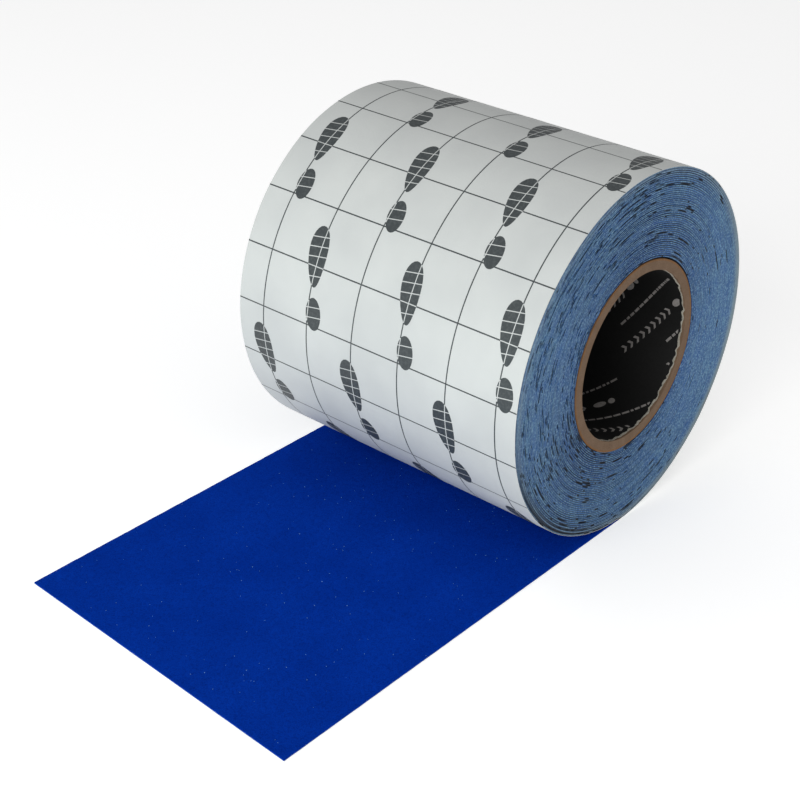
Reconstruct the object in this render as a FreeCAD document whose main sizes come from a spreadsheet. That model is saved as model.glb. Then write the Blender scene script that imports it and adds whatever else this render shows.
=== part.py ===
import FreeCAD, Part

import math
import os

import Sketcher
from FreeCAD import Placement, Rotation, Vector

# A roll of anti-slip grip tape on a paper core, with the first stretch of tape unrolled on the floor.
# Millimetres. The core's axis is Y and the origin is its middle. Z is up, and the tail lies towards -X.
# The tape is four bonded layers, wound with its liner outwards and its grit inwards.

# ---------------------------------------------------------------- driving dimensions
# name, value, what it is
DIMENSIONS = [
    ("tape_width", 152.4, "six inch tape"),
    ("liner_thick", 0.10, "waxed paper release liner"),
    ("adhesive_thick", 0.08, "pressure-sensitive adhesive"),
    ("film_thick", 0.10, "polyester carrier film"),
    ("grit_thick", 0.58, "mineral grit in resin"),
    ("bore_radius", 38.1, "three inch core"),
    ("printed_ply_thick", 0.18, "black printed paper lining the core"),
    ("kraft_ply_thick", 0.804, "one ply of kraft board"),
    ("tack_strip_thick", 0.10, "double-sided strip that holds the tape's first turn"),
    ("tack_strip_arc", 32.0, "degrees of the core that the strip covers"),
    ("tack_strip_gap", 0.02, "slack between the strip and the tape"),
    ("tail_length", 209.2, "unrolled tape, from below the axis to its cut end"),
    ("tail_skew", 4.0, "how far each corner of the cut end is off square"),
    ("liftoff_length", 20.0, "tape next to the roll, which travels with it"),
    ("contact_gap", 0.3, "running clearance between the roll and that stretch"),
    ("end_length", 54.2, "free end that lifts off the floor"),
    ("flap_length", 44.2, "part of the free end that peels off its liner"),
]
KRAFT_PLIES = 6
HALF_TURNS = 90
# How far the roll travels along its tail.
ROLL_TRAVEL = 70.0

doc = FreeCAD.newDocument("grip_tape_roll")
sheet = doc.addObject("Spreadsheet::Sheet", "Sizes")


def write_cells(first_row, cells):
    """Put (alias, value, meaning) rows into the sheet, from one row down."""
    for row, (alias, value, meaning) in enumerate(cells, start=first_row):
        sheet.set(f"A{row}", meaning)
        sheet.set(f"B{row}", str(value))
        sheet.setAlias(f"B{row}", alias)
    doc.recompute()


def size(alias):
    """Value of one named cell, in millimetres or degrees."""
    return float(sheet.get(alias))


write_cells(1, DIMENSIONS)

# ---------------------------------------------------------------- derived sizes
# The four layers from the outside in, as (name, cells that lie outside it, its own cell).
LAYERS = [
    ("liner", [], "liner_thick"),
    ("adhesive", ["liner_thick"], "adhesive_thick"),
    ("film", ["liner_thick", "adhesive_thick"], "film_thick"),
    ("grit", ["liner_thick", "adhesive_thick", "film_thick"], "grit_thick"),
]
pitch = sum(size(own_cell) for _, _, own_cell in LAYERS)
core_radius = size("bore_radius") + size("printed_ply_thick") + KRAFT_PLIES * size("kraft_ply_thick")

# The roll is a two-centre spiral: right-hand half turns are centred pitch/4 below the axis and
# left-hand ones pitch/4 above it, and each half turn is pitch/2 smaller than the one before.
innermost_radius = core_radius + size("tack_strip_thick") + size("tack_strip_gap") + pitch / 4
outermost_radius = innermost_radius + (HALF_TURNS + 1) / 2 * pitch
floor_z = -(outermost_radius + pitch / 4)

# The derived sizes that other pieces are placed from get cells too.
DERIVED = [
    ("floor_height", floor_z, "floor, measured from the core's axis"),
    ("core_radius", core_radius, "outside of the core"),
    ("tape_thick", pitch, "all four layers"),
]
write_cells(len(DIMENSIONS) + 1, DERIVED)


def cell(alias):
    """The expression that reads one named cell."""
    return f"Sizes.{alias}"


def total(aliases):
    """The expression that adds named cells, or zero."""
    return " + ".join(cell(alias) for alias in aliases) or "0"


# ---------------------------------------------------------------- helpers
def origin_plane(body, role):
    """One of a body's own origin planes, such as XZ_Plane."""
    return next(feature for feature in body.Origin.OriginFeatures if feature.Role == role)


def new_body(label):
    """An empty body that will be one piece."""
    body = doc.addObject("PartDesign::Body", label)
    body.Label = label
    return body


def sketch_on(body, role, name):
    """A sketch flat on one of the body's origin planes."""
    sketch = body.newObject("Sketcher::SketchObject", name)
    sketch.AttachmentSupport = [(origin_plane(body, role), "")]
    sketch.MapMode = "FlatFace"
    return sketch


def constrain(sketch, name, expression, *arguments):
    """Add a named dimension to a sketch and bind it to an expression."""
    index = sketch.addConstraint(Sketcher.Constraint(*arguments))
    sketch.renameConstraint(index, name)
    sketch.setExpression(f"Constraints.{name}", expression)


def closed_outline(sketch, points):
    """Join the points with lines that meet at their ends."""
    lines = []
    for start, end in zip(points, points[1:] + points[:1]):
        lines.append(sketch.addGeometry(Part.LineSegment(Vector(*start, 0), Vector(*end, 0)), False))
    for line, following in zip(lines, lines[1:] + lines[:1]):
        sketch.addConstraint(Sketcher.Constraint("Coincident", line, 2, following, 1))
    return lines


# ---------------------------------------------------------------- the core
def core_ply(label, inner, thick):
    """A paper tube as wide as the tape, from its inner radius outwards."""
    body = new_body(label)
    sketch = sketch_on(body, "XZ_Plane", f"{label}_rings")
    first_guess = size("bore_radius")
    for name, expression in [("inner_radius", inner), ("outer_radius", f"{inner} + {thick}")]:
        circle = Part.Circle(Vector(0, 0, 0), Vector(0, 0, 1), first_guess)
        ring = sketch.addGeometry(circle, False)
        sketch.addConstraint(Sketcher.Constraint("Coincident", ring, 3, -1, 1))
        constrain(sketch, name, expression, "Radius", ring, first_guess)
        first_guess += 1
    tube = body.newObject("PartDesign::Pad", f"{label}_tube")
    tube.Profile = sketch
    tube.SideType = "Symmetric"
    tube.setExpression("Length", cell("tape_width"))
    return body


def core_plies():
    """The printed lining, then the kraft plies that give the core its strength."""
    plies = [core_ply("core_printed_ply", cell("bore_radius"), cell("printed_ply_thick"))]
    for number in range(KRAFT_PLIES):
        inner = f"{total(['bore_radius', 'printed_ply_thick'])} + {number} * {cell('kraft_ply_thick')}"
        plies.append(core_ply(f"core_kraft_ply_{number + 1}", inner, cell("kraft_ply_thick")))
    return plies


def start_tack_strip():
    """The strip under the core, which holds the tape's first few centimetres."""
    body = new_body("start_tack_strip")
    sketch = sketch_on(body, "YZ_Plane", "start_tack_strip_section")
    half = size("tape_width") / 2
    high = -core_radius
    low = high - size("tack_strip_thick")
    corners = [(-half, low), (half, low), (half, high), (-half, high)]
    bottom, right, top, left = closed_outline(sketch, corners)
    sketch.addConstraint(Sketcher.Constraint("Horizontal", top))
    for line in (left, right):
        sketch.addConstraint(Sketcher.Constraint("Vertical", line))
    sketch.addConstraint(Sketcher.Constraint("Symmetric", bottom, 1, bottom, 2, -2))
    constrain(sketch, "strip_width", cell("tape_width"), "DistanceX", bottom, 1, bottom, 2, 2 * half)
    constrain(sketch, "strip_thick", cell("tack_strip_thick"), "DistanceY", right, 1, right, 2, high - low)
    constrain(sketch, "strip_height", cell("core_radius"), "DistanceY", top, 1, -1, 1, -high)
    turned = body.newObject("PartDesign::Revolution", "start_tack_strip_turned")
    turned.Profile = sketch
    turned.ReferenceAxis = (sketch, ["H_Axis"])
    turned.setExpression("Angle", cell("tack_strip_arc"))
    return body


# ---------------------------------------------------------------- the wound tape
def spiral_edge_run(depth):
    """The spiral at one depth below the tape's outer face, as half-turn arcs from the bottom inwards."""
    arcs = []
    for number in range(HALF_TURNS):
        side = 1 if number % 2 == 0 else -1
        radius = outermost_radius - number * pitch / 2 - depth
        centre = Vector(0, 0, -side * pitch / 4)
        start = centre + Vector(0, 0, -side * radius)
        middle = centre + Vector(side * radius, 0, 0)
        end = centre + Vector(0, 0, side * radius)
        arcs.append(Part.Arc(start, middle, end).toShape())
    return arcs


def wound_layer(name, outside_cells, own_cell):
    """One layer of the tape through all its turns, as a spiral band extruded across the width."""
    depth = sum(size(alias) for alias in outside_cells)
    outer = spiral_edge_run(depth)
    inner = spiral_edge_run(depth + size(own_cell))
    start_cut = Part.LineSegment(inner[0].firstVertex(True).Point, outer[0].firstVertex(True).Point)
    end_cut = Part.LineSegment(outer[-1].lastVertex(True).Point, inner[-1].lastVertex(True).Point)
    outline = Part.Wire(outer + [end_cut.toShape()] + inner[::-1] + [start_cut.toShape()])
    band = Part.Face(outline).extrude(Vector(0, size("tape_width"), 0))
    layer = doc.addObject("Part::Feature", f"wound_{name}")
    layer.Label = f"wound_{name}"
    layer.Shape = band
    layer.Placement = Placement(Vector(0, -size("tape_width") / 2, 0), Rotation())
    return layer


# ---------------------------------------------------------------- the unrolled tape
def flat_layer(label, near, far, outside_cells, own_cell, skewed=False):
    """A flat stretch of one layer, from one distance along the tail to another.

    near and far are expressions, measured from below the core's axis towards the tape's end.
    """
    body = new_body(label)
    sketch = sketch_on(body, "XY_Plane", f"{label}_outline")
    half = size("tape_width") / 2
    corners = [(-10, -half), (-10, half), (-20, half), (-20, -half)]
    near_edge, far_side, far_edge, near_side = closed_outline(sketch, corners)
    skew = cell("tail_skew") if skewed else "0"
    sketch.addConstraint(Sketcher.Constraint("Vertical", near_edge))
    constrain(sketch, "near_distance", near, "DistanceX", near_edge, 1, -1, 1, 10)
    constrain(sketch, "far_distance", f"{far} - {skew}", "DistanceX", far_edge, 1, -1, 1, 20)
    constrain(sketch, "corner_distance", f"{far} + {skew}", "DistanceX", far_edge, 2, -1, 1, 20)
    for name, line, end in [("near_left", near_edge, 1), ("far_left", near_side, 1)]:
        constrain(sketch, name, f"{cell('tape_width')} / 2", "DistanceY", line, end, -1, 1, half)
    for name, line, end in [("near_right", far_side, 1), ("far_right", far_side, 2)]:
        constrain(sketch, name, f"{cell('tape_width')} / 2", "DistanceY", -1, 1, line, end, half)
    sheet_of_tape = body.newObject("PartDesign::Pad", f"{label}_sheet")
    sheet_of_tape.Profile = sketch
    sheet_of_tape.setExpression("Length", cell(own_cell))
    body.setExpression(".Placement.Base.z", f"{cell('floor_height')} + {total(outside_cells)}")
    return body


def relieved(flat, label):
    """A flat stretch hollowed to clear the roll as it turns above it."""
    reach = doc.addObject("Part::Cylinder", "roll_clearance")
    roll_bottom = f"-{cell('floor_height')} - {cell('tape_thick')}"
    reach.setExpression("Radius", f"{roll_bottom} + {cell('tape_thick')} / 4 + {cell('contact_gap')}")
    reach.setExpression("Height", f"{cell('tape_width')} + 2")
    reach.Placement = Placement(Vector(0, size("tape_width") / 2 + 1, 0), Rotation(Vector(1, 0, 0), 90))
    cut = doc.addObject("Part::Cut", label)
    cut.Label = label
    cut.Base = flat
    cut.Tool = reach
    return cut


def tail_layers():
    """Every flat stretch of each layer, split where the tape bends when it is handled."""
    liftoff = (cell("contact_gap"), cell("liftoff_length"))
    laid = (cell("liftoff_length"), f"{cell('tail_length')} - {cell('end_length')}")
    bend = (laid[1], f"{cell('tail_length')} - {cell('flap_length')}")
    flap = (bend[1], cell("tail_length"))
    pieces = []
    for name, outside_cells, own_cell in LAYERS:
        if name == "grit":
            block = flat_layer("liftoff_block", *liftoff, outside_cells, own_cell)
            pieces.append(relieved(block, "liftoff_grit"))
        else:
            pieces.append(flat_layer(f"liftoff_{name}", *liftoff, outside_cells, own_cell))
        pieces.append(flat_layer(f"laid_{name}", *laid, outside_cells, own_cell))
        if name == "liner":
            pieces.append(flat_layer("end_liner", bend[0], flap[1], outside_cells, own_cell, skewed=True))
        else:
            pieces.append(flat_layer(f"bend_{name}", *bend, outside_cells, own_cell))
            pieces.append(flat_layer(f"flap_{name}", *flap, outside_cells, own_cell, skewed=True))
    return pieces


# ---------------------------------------------------------------- build, check and write
nodes = core_plies() + [start_tack_strip()]
nodes += [wound_layer(*layer) for layer in LAYERS]
nodes += tail_layers()
doc.recompute()

for item in doc.Objects:
    if "Invalid" in item.State or "Error" in item.State:
        raise RuntimeError(f"{item.Label} did not build: {item.State}")
for node in nodes:
    if node.Shape.isNull() or not node.Shape.isValid() or len(node.Shape.Solids) != 1:
        raise RuntimeError(f"{node.Label} is not one sound solid")

os.makedirs("parts", exist_ok=True)
for node in nodes:
    node.Shape.exportStep(f"parts/{node.Label}.step")
    print(f"{node.Label:22s} {node.Shape.Volume:12.2f} mm3")

wound_length = sum(
    math.pi * (outermost_radius - number * pitch / 2 - pitch / 2) for number in range(HALF_TURNS)
)
print(f"roll stands {-floor_z:.3f} mm above the floor, outermost radius {outermost_radius:.3f} mm")
whole_length = wound_length + size("tail_length")
print(f"tape on the roll {wound_length / 1000:.3f} m, with the tail {whole_length / 1000:.3f} m")
print(f"rolling {ROLL_TRAVEL:.0f} mm turns the roll {math.degrees(ROLL_TRAVEL / -floor_z):.3f} degrees")
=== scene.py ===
"""A roll of anti-slip grip tape with its first stretch unrolled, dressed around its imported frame.

The tape is four bonded layers (liner, adhesive, film, grit) wound liner outwards on a paper core.
Lengths are metres. The core's axis is Y, Z is up and the tail lies towards -X.
"""

import logging
import math
from dataclasses import dataclass, field
from enum import Enum
from typing import Callable, Iterable

import bmesh
import bpy
import numpy as np
from mathutils import Matrix, Vector


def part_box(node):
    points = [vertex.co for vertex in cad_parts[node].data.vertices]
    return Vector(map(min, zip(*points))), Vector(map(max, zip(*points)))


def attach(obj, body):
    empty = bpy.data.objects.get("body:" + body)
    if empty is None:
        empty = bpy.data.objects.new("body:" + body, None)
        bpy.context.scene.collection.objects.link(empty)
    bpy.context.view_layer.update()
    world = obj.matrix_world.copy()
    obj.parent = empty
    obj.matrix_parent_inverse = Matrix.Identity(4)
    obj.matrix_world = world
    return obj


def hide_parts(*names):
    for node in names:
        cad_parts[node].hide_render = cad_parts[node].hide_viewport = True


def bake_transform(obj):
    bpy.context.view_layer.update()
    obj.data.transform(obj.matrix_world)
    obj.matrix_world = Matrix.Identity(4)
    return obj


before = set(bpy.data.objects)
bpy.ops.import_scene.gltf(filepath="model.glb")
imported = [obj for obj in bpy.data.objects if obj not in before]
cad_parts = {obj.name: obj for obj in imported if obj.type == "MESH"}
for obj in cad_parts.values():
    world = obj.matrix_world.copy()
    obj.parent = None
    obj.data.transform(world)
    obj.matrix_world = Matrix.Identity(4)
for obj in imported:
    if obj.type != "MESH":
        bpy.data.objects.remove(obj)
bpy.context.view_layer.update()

MM = 0.001
log = logging.getLogger("grip_tape")

Point = tuple[float, float]


# ------------------------------------------------------------------ small tools
class End(Enum):
    """The two cut ends of the roll: the value is the side of the axis that it is on."""

    NEAR = -1
    FAR = 1


class Layer(Enum):
    """The tape's four layers, from the face that lies on the floor upwards."""

    LINER = "liner"
    ADHESIVE = "adhesive"
    FILM = "film"
    GRIT = "grit"


def linear(code: str) -> tuple[float, float, float, float]:
    """Turn an sRGB hex colour into linear light.

    Args:
        code: Six hex digits after a hash.

    Returns:
        Red, green, blue and a full alpha.
    """
    values = [int(code[i : i + 2], 16) / 255 for i in (1, 3, 5)]
    lit = [v / 12.92 if v <= 0.04045 else ((v + 0.055) / 1.055) ** 2.4 for v in values]
    return (*lit, 1.0)


def add_node(tree: bpy.types.NodeTree, kind: str, inputs: dict | None = None, **settings) -> bpy.types.Node:
    """Add a node, set its properties and fill its inputs.

    Args:
        tree: The tree that gets the node.
        kind: The node's type name.
        inputs: Socket name or index, to a plain value or to the output socket it is linked from.
        **settings: The node's own properties.

    Returns:
        The new node.
    """
    node = tree.nodes.new(kind)
    for name, value in settings.items():
        setattr(node, name, value)
    for key, value in (inputs or {}).items():
        if isinstance(value, bpy.types.NodeSocket):
            tree.links.new(value, node.inputs[key])
        else:
            node.inputs[key].default_value = value
    return node


def mesh_object(name: str, points: np.ndarray, faces: Iterable, smooth: bool = True) -> bpy.types.Object:
    """Make an object at the origin from points and faces.

    Args:
        name: The piece's name.
        points: One row of x, y, z for each vertex.
        faces: Vertex numbers of each face.
        smooth: Whether the faces shade smoothly.

    Returns:
        The linked object.
    """
    mesh = bpy.data.meshes.new(name)
    mesh.from_pydata(np.asarray(points, float).tolist(), [], [list(map(int, f)) for f in faces])
    mesh.update()
    mesh.polygons.foreach_set("use_smooth", [smooth] * len(mesh.polygons))
    thing = bpy.data.objects.new(name, mesh)
    bpy.context.scene.collection.objects.link(thing)
    return thing


def tube_faces(rings: int, around: int, closed: bool) -> list[tuple[int, ...]]:
    """Number the faces between rings of points.

    Args:
        rings: How many rings there are.
        around: How many points each ring has.
        closed: Whether the last ring joins the first.

    Returns:
        Four vertex numbers for each face.
    """
    faces = []
    for ring in range(rings if closed else rings - 1):
        low, high = ring * around, (ring + 1) % rings * around
        for spot in range(around):
            after = (spot + 1) % around
            faces.append((low + spot, high + spot, high + after, low + after))
    return faces


def sheet_faces(rows: int, columns: int, first: int = 0) -> list[tuple[int, ...]]:
    """Number the faces of a grid of points.

    Args:
        rows: How many rows there are.
        columns: How many points each row has.
        first: The number of the grid's first point.

    Returns:
        Four vertex numbers for each face.
    """
    corners = [first + row * columns + column for row in range(rows - 1) for column in range(columns - 1)]
    return [(spot, spot + 1, spot + 1 + columns, spot + columns) for spot in corners]


def cut(shape: bmesh.types.BMesh, place: Iterable[float], normal: Iterable[float],
        drop: bool = False) -> None:
    """Cut a flat shape along a plane.

    Args:
        shape: The shape that is cut.
        place: A point on the plane.
        normal: The plane's direction.
        drop: Whether what lies on the normal's side is thrown away.
    """
    bmesh.ops.bisect_plane(shape, geom=shape.faces[:] + shape.edges[:] + shape.verts[:],
                           plane_co=place, plane_no=normal, clear_outer=drop)


def drawn(name: str, shape: bmesh.types.BMesh) -> bpy.types.Object:
    """Turn a drawn shape into a linked object, and free the shape.

    Args:
        name: The object's name.
        shape: What was drawn.

    Returns:
        The object.
    """
    mesh = bpy.data.meshes.new(name)
    shape.to_mesh(mesh)
    shape.free()
    thing = bpy.data.objects.new(name, mesh)
    bpy.context.scene.collection.objects.link(thing)
    return thing


def face_outwards(thing: bpy.types.Object) -> None:
    """Turn every face of a closed mesh outwards.

    Args:
        thing: The object whose mesh is closed.
    """
    shape = bmesh.new()
    shape.from_mesh(thing.data)
    bmesh.ops.recalc_face_normals(shape, faces=shape.faces)
    shape.to_mesh(thing.data)
    shape.free()


def face_the_axis(shape: bmesh.types.BMesh, towards: bool) -> None:
    """Turn the faces of an open print to the side that is seen.

    Args:
        shape: The print.
        towards: True to face the core's axis, False to face away from it.
    """
    for face in shape.faces:
        face.normal_update()
        middle = face.calc_center_median()
        if (face.normal.dot(Vector((middle.x, 0, middle.z))) < 0) != towards:
            face.normal_flip()


def dress(thing: bpy.types.Object, *finishes: "Finish") -> bpy.types.Object:
    """Give an object its materials.

    Args:
        thing: The object.
        *finishes: Its finishes, in slot order.

    Returns:
        The same object.
    """
    thing.data.materials.clear()
    for finish in finishes:
        thing.data.materials.append(finish.material())
    return thing


def smooth_noise(rng: np.random.Generator, count: int, spacing: float, step: float) -> np.ndarray:
    """Random values from 0 to 1 that change smoothly along a line.

    Args:
        rng: Where the random values come from.
        count: How many values are wanted.
        spacing: Distance between neighbouring values.
        step: Distance over which the value changes.

    Returns:
        The values, in order.
    """
    where = np.arange(count) * spacing / step
    knots = rng.random(int(where[-1]) + 3)
    low = where.astype(int)
    share = where - low
    share = share * share * (3 - 2 * share)
    return knots[low] * (1 - share) + knots[low + 1] * share


# ------------------------------------------------------------------ the winding
@dataclass(frozen=True)
class Winding:
    """The two-centre spiral that the tape is wound on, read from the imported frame."""

    floor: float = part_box("laid_liner")[0].z
    tape_top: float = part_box("laid_grit")[1].z
    half_width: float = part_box("laid_liner")[1].y
    core_radius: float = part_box("core_kraft_ply_6")[1].z
    most_drift: float = 1.2 * MM
    widest_at: float = math.radians(300)
    back_over: float = math.radians(75)

    @property
    def pitch(self) -> float:
        """The thickness of the tape, which each full turn adds."""
        return self.tape_top - self.floor

    @property
    def outer_radius(self) -> float:
        """The radius of the outermost half turn."""
        return -self.floor - self.pitch / 4

    def point(self, angle: np.ndarray, depth: np.ndarray) -> tuple[np.ndarray, np.ndarray]:
        """Place points of the winding across its axis.

        Args:
            angle: Radians wound up from the bottom, where the tail leaves.
            depth: Distance in from the tape's outer face.

        Returns:
            The x and z of each point.
        """
        half = np.floor(np.asarray(angle) / math.pi + 1e-9)
        side = np.where(half % 2 == 0, 1.0, -1.0)
        radius = self.outer_radius - half * self.pitch / 2 - depth
        return radius * np.sin(angle), -side * self.pitch / 4 - radius * np.cos(angle)

    def drift(self, angle: np.ndarray) -> np.ndarray:
        """How far sideways the outermost turn has wandered.

        Args:
            angle: Radians wound up from the bottom.

        Returns:
            The distance along the axis, at each angle.
        """
        rising = (np.minimum(angle, self.widest_at) / self.widest_at) ** 3
        falling = np.clip((np.asarray(angle) - self.widest_at) / self.back_over, 0, 1)
        return self.most_drift * rising * (0.5 + 0.5 * np.cos(math.pi * falling))

    def angle_at(self, along: np.ndarray) -> np.ndarray:
        """The angle of points on the first turn.

        Args:
            along: Their distance along the tape's outer face.

        Returns:
            Radians wound up from the bottom.
        """
        first = math.pi * self.outer_radius
        small = self.outer_radius - self.pitch / 2
        return np.where(along < first, along / self.outer_radius, math.pi + (along - first) / small)

    def wrap(self, flat: np.ndarray, proud: float) -> np.ndarray:
        """Lay flat points of the liner's outer face on the roll and the tail.

        Args:
            flat: Rows of distance along the tape, distance across it and anything.
            proud: How far the points stand off the liner.

        Returns:
            Rows of x, y, z. Distances below zero are on the tail, whose liner faces the floor.
        """
        along, across = flat[:, 0], flat[:, 1]
        angle = self.angle_at(np.maximum(along, 0))
        x, z = self.point(angle, np.full(len(flat), -proud))
        on_tail = along < 0
        x = np.where(on_tail, along, x)
        z = np.where(on_tail, self.floor - proud, z)
        return np.column_stack([x, across + self.drift(angle), z])


WINDING = Winding()


# ------------------------------------------------------------------ finishes
def wandering(tree: bpy.types.NodeTree, size: float, low: float, high: float, most: float = 1.0,
              detail: float = 3.0, offset: float = 0.0) -> bpy.types.NodeSocket:
    """A share that wanders over the object's own coordinates.

    Args:
        tree: The material's tree.
        size: The real distance over which it changes.
        low: The noise value at which the share is 0.
        high: The noise value at which it is largest.
        most: The largest share.
        detail: How many finer levels the noise has.
        offset: Moves the pattern, so that two of them differ.

    Returns:
        The share's socket.
    """
    place = add_node(tree, "ShaderNodeTexCoord").outputs["Object"]
    moved = add_node(tree, "ShaderNodeMapping", {"Vector": place, "Location": (offset,) * 3})
    cloud = add_node(tree, "ShaderNodeTexNoise",
                     {"Vector": moved.outputs["Vector"], "Scale": 1 / size, "Detail": detail})
    held = add_node(tree, "ShaderNodeMapRange",
                    {"Value": cloud.outputs["Fac"], "From Min": low, "From Max": high, "To Max": most},
                    clamp=True)
    return held.outputs["Result"]


def roughened(tree: bpy.types.NodeTree, shader: bpy.types.Node, size: float, depth: float,
              strength: float) -> None:
    """Give a surface fine relief.

    Args:
        tree: The material's tree.
        shader: The shader whose normal is bent.
        size: The real size of the bumps.
        depth: Their real height.
        strength: How much of it shows, from 0 to 1.
    """
    height = wandering(tree, size, 0.0, 1.0)
    relief = add_node(tree, "ShaderNodeBump", {"Height": height, "Distance": depth, "Strength": strength})
    tree.links.new(relief.outputs["Normal"], shader.inputs["Normal"])


@dataclass(frozen=True)
class Finish:
    """A material named for what it is and how its surface was made."""

    name: str
    colour: str
    roughness: float
    specular: float = 0.5

    def pattern(self, tree: bpy.types.NodeTree, shader: bpy.types.Node) -> None:
        """Add what varies over the surface.

        Args:
            tree: The material's tree.
            shader: Its principled shader.
        """
        raise NotImplementedError(self.name)

    def material(self) -> bpy.types.Material:
        """Build the material, or find it if it was built before.

        Returns:
            The material.
        """
        if self.name in bpy.data.materials:
            return bpy.data.materials[self.name]
        made = bpy.data.materials.new(self.name)
        made.use_nodes = True
        tree = made.node_tree
        shader = tree.nodes["Principled BSDF"]
        shader.inputs["Base Color"].default_value = linear(self.colour)
        shader.inputs["Roughness"].default_value = self.roughness
        shader.inputs["Specular IOR Level"].default_value = self.specular
        self.pattern(tree, shader)
        return made

    def layered(self, tree: bpy.types.NodeTree, shader: bpy.types.Node, base: str,
                coats: list[tuple[bpy.types.NodeSocket, str]]) -> None:
        """Lay colours over each other and give the last to the shader.

        Args:
            tree: The material's tree.
            shader: The shader that is coloured.
            base: The undermost colour.
            coats: The share and the colour of each coat, from the lowest up.
        """
        under = linear(base)
        for share, colour in coats:
            mixed = add_node(tree, "ShaderNodeMix", {0: share, 6: under, 7: linear(colour)}, data_type="RGBA")
            under = mixed.outputs[2]
        tree.links.new(under, shader.inputs["Base Color"])


@dataclass(frozen=True)
class ReleasePaper(Finish):
    """Bleached paper, calendered and silicone coated."""

    cloud: float = 34 * MM
    fibre: float = 0.55 * MM
    shaded: str = "#BFC2C1"

    def pattern(self, tree: bpy.types.NodeTree, shader: bpy.types.Node) -> None:
        """Slow clouds of the paper's density, and fibres felt through the coating.

        Args:
            tree: The material's tree.
            shader: Its principled shader.
        """
        self.layered(tree, shader, self.colour, [(wandering(tree, self.cloud, 0.3, 0.7), self.shaded)])
        roughened(tree, shader, self.fibre, 0.02 * MM, 0.25)


@dataclass(frozen=True)
class GritCoat(Finish):
    """Mineral grains rolled into pigmented resin."""

    grain: float = 0.55 * MM
    mottle: float = 26 * MM
    pit: str = "#001F70"
    pale: str = "#053DB4"

    def pattern(self, tree: bpy.types.NodeTree, shader: bpy.types.Node) -> None:
        """Slow mottling where the resin lies thicker, and single grains with pits between them.

        Args:
            tree: The material's tree.
            shader: Its principled shader.
        """
        place = add_node(tree, "ShaderNodeTexCoord").outputs["Object"]
        cells = add_node(tree, "ShaderNodeTexVoronoi", {"Vector": place, "Scale": 1 / self.grain})
        grains = cells.outputs["Distance"]
        pits = add_node(tree, "ShaderNodeMapRange",
                        {"Value": grains, "From Min": 0.35, "From Max": 0.85, "To Max": 0.5}, clamp=True)
        self.layered(tree, shader, self.colour, [
            (wandering(tree, self.mottle, 0.3, 0.75, 0.6), self.pale),
            (wandering(tree, 2.4 * MM, 0.35, 0.7, 0.22, 2.0, 0.3), self.pit),
            (pits.outputs["Result"], self.pit),
        ])
        relief = add_node(tree, "ShaderNodeBump",
                          {"Height": grains, "Distance": 0.25 * MM, "Strength": 0.55}, invert=True)
        tree.links.new(relief.outputs["Normal"], shader.inputs["Normal"])


@dataclass(frozen=True)
class CutEdges(Finish):
    """Slit edges of forty-five turns: blue film and grit smeared with pale adhesive, with near-black painted
    shade in the sunk gaps and along the seams between turns.
    """

    smear: str = "#6391B5"
    pale: str = "#83AAC8"
    deep: str = "#0F3F7C"
    blue: str = "#1A5298"
    liner: str = "#8FA6B2"
    outermost: str = "#8E9C9E"
    # Painted shade: the near-black colour along the seams between turns.
    line: str = "#05101F"
    # Painted shade: the near-black colour of the gaps where a turn stands off its neighbour.
    gap: str = "#050B14"

    def pattern(self, tree: bpy.types.NodeTree, shader: bpy.types.Node) -> None:
        """Colour by the values stored on the mesh, then speckle it as torn grit and adhesive do.

        Args:
            tree: The material's tree.
            shader: Its principled shader.
        """
        stored = {
            name: add_node(tree, "ShaderNodeAttribute", attribute_name=name).outputs["Fac"]
            for name in ("smear", "gap", "seam", "liner_edge", "firm", "rim")
        }
        paper = add_node(tree, "ShaderNodeMapRange",
                         {"Value": stored["liner_edge"], "From Min": 0.35, "From Max": 0.9, "To Max": 0.6},
                         clamp=True)
        seam = add_node(tree, "ShaderNodeMapRange",
                        {"Value": stored["seam"], "From Min": 0.15, "From Max": 0.42,
                         "To Min": 1.0, "To Max": 0.0}, clamp=True)
        # Painted shade: a near-black line along the seams between turns, as strong as the stored seam-shade
        # value.
        line = add_node(tree, "ShaderNodeMath", {0: seam.outputs["Result"], 1: stored["firm"]},
                        operation="MULTIPLY")
        # Painted shade: the gap value darkens the edge to near black, on top of the real sinking of the row.
        gap = add_node(tree, "ShaderNodeMapRange",
                       {"Value": stored["gap"], "From Min": 0.3, "From Max": 0.62}, clamp=True)
        self.layered(tree, shader, self.deep, [
            (stored["smear"], self.smear),
            (wandering(tree, 1.5 * MM, 0.44, 0.58, 0.72, 4.0), self.colour),
            (wandering(tree, 6 * MM, 0.45, 0.68, 0.55, 3.0, 0.9), self.blue),
            (wandering(tree, 1.0 * MM, 0.5, 0.64, 0.6, 3.0, 0.4), self.pale),
            (stored["rim"], self.outermost),
            (paper.outputs["Result"], self.liner),
            (line.outputs["Value"], self.line),
            (gap.outputs["Result"], self.gap),
        ])
        roughened(tree, shader, 0.5 * MM, 0.12 * MM, 0.5)


@dataclass(frozen=True)
class KraftBoard(Finish):
    """Unbleached kraft board, spirally wound and saw cut."""

    fibre: float = 0.5 * MM
    dark: str = "#56412F"

    def pattern(self, tree: bpy.types.NodeTree, shader: bpy.types.Node) -> None:
        """Fibres and cloudy density in the cut board.

        Args:
            tree: The material's tree.
            shader: Its principled shader.
        """
        self.layered(tree, shader, self.colour, [
            (wandering(tree, 5 * MM, 0.35, 0.7, 0.3), self.dark),
            (wandering(tree, self.fibre, 0.4, 0.75, 0.45, 3.0, 0.2), self.dark),
        ])
        roughened(tree, shader, self.fibre, 0.08 * MM, 0.5)


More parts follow.
